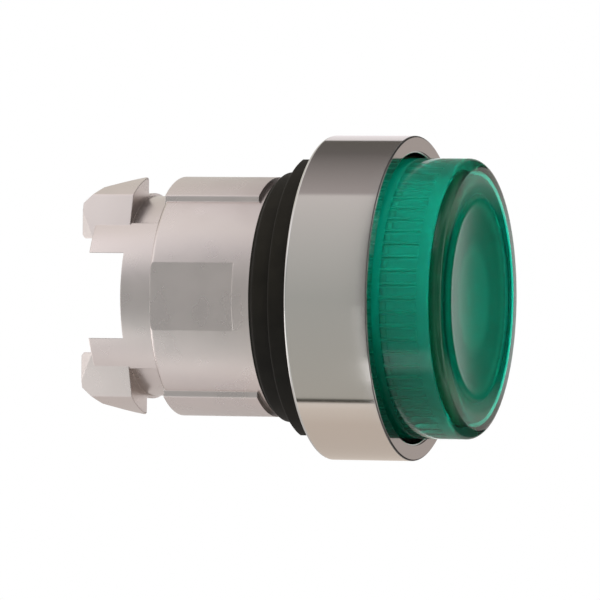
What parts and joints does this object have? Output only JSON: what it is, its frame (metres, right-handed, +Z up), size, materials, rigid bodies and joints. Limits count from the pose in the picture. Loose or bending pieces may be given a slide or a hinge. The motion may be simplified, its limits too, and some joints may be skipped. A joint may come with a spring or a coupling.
{
  "type": "illuminated push button head",
  "caption": "Illuminated push-button head for a round panel hole: green lens cap, polished bezel, rubber panel gasket and cast body with rear hooks.",
  "frame": {"origin": "on the button's axis, in the plane where the panel's face meets the gasket flange", "axes": "+Y along the axis from the lens towards the rear hooks, so the lens faces -Y; +Z up, with one hook above and one below the axis; X to the sides, with the lugs of the hooks on the -X side"},
  "size_m": [0.029, 0.0353, 0.029],
  "materials": {
    "body_casting": "satin plated zinc die casting",
    "bezel_chrome": "polished",
    "black_rubber": "matte moulded",
    "natural_plastic": "moulded",
    "spring_steel": "drawn",
    "pale_silicone": "moulded",
    "green_lens": "clear tinted, glossy",
    "milky_plastic": "milky",
    "white_plastic": "moulded"
  },
  "bodies": {
    "housing": {"barrel_body": "body_casting", "bezel_ring": "bezel_chrome", "bezel_o_ring": "black_rubber", "panel_gasket": "black_rubber", "guide_bush": "natural_plastic", "lip_seal": "black_rubber", "seal_washer": "spring_steel", "return_spring": "spring_steel"},
    "button": {"plunger": "white_plastic", "thrust_washer": "spring_steel", "stop_ring": "black_rubber", "pusher_crown": "natural_plastic", "crown_snap_ring": "spring_steel", "lens_cap": "green_lens", "lens_o_ring": "pale_silicone", "light_diffuser": "milky_plastic", "reflector_cone": "white_plastic"}
  },
  "joints": [
    {"name": "button_press", "type": "slide", "parent": "housing", "child": "button", "axis": [0, 1, 0], "range_m": [0, 0.0043], "stiffness_N_per_m": 600, "springref_m": -0.004, "deforming": ["return_spring"]}
  ]
}
